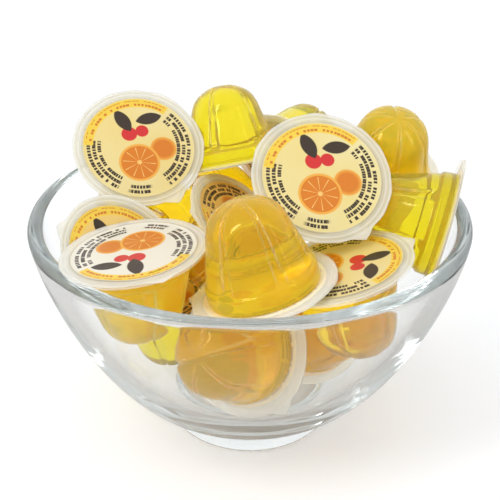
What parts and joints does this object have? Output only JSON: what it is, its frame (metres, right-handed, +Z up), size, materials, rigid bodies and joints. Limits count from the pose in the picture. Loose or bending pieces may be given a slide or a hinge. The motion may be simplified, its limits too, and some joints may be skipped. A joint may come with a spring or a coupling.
{
  "type": "glass bowl of cup jellies",
  "caption": "Footed clear glass bowl heaped with sealed single-serve fruit jellies in fluted bell-shaped cups with round film lids.",
  "frame": {"origin": "centre of the underside of the bowl's foot", "axes": "+Z up, -Y towards the viewer, +X to the viewer's right"},
  "size_m": [0.16, 0.16, 0.1251],
  "materials": {
    "bowl_glass": "thick clear pressed glass, polished",
    "yellow_jelly": "clear thin cup full of clear yellow jelly",
    "orange_jelly": "clear thin cup full of clear amber jelly",
    "lid_film": "heat-sealed plastic film, cream print with a clear edge, glossy"
  },
  "bodies": {
    "root": {"bowl": "bowl_glass", "cup_01": "yellow_jelly", "cup_02": "yellow_jelly", "cup_03": "yellow_jelly", "cup_04": "yellow_jelly", "cup_05": "yellow_jelly", "cup_06": "yellow_jelly", "cup_07": "orange_jelly", "cup_08": "orange_jelly", "cup_09": "orange_jelly", "cup_10": "orange_jelly", "cup_11": "orange_jelly", "cup_12": "orange_jelly", "cup_13": "orange_jelly", "cup_14": "yellow_jelly", "cup_15": "orange_jelly", "cup_16": "orange_jelly", "cup_17": "yellow_jelly", "lid_01": "lid_film", "lid_02": "lid_film", "lid_03": "lid_film", "lid_04": "lid_film", "lid_05": "lid_film", "lid_06": "lid_film", "lid_07": "lid_film", "lid_08": "lid_film", "lid_09": "lid_film", "lid_10": "lid_film", "lid_11": "lid_film", "lid_12": "lid_film", "lid_13": "lid_film", "lid_14": "lid_film", "lid_15": "lid_film", "lid_16": "lid_film", "lid_17": "lid_film"}
  },
  "joints": []
}
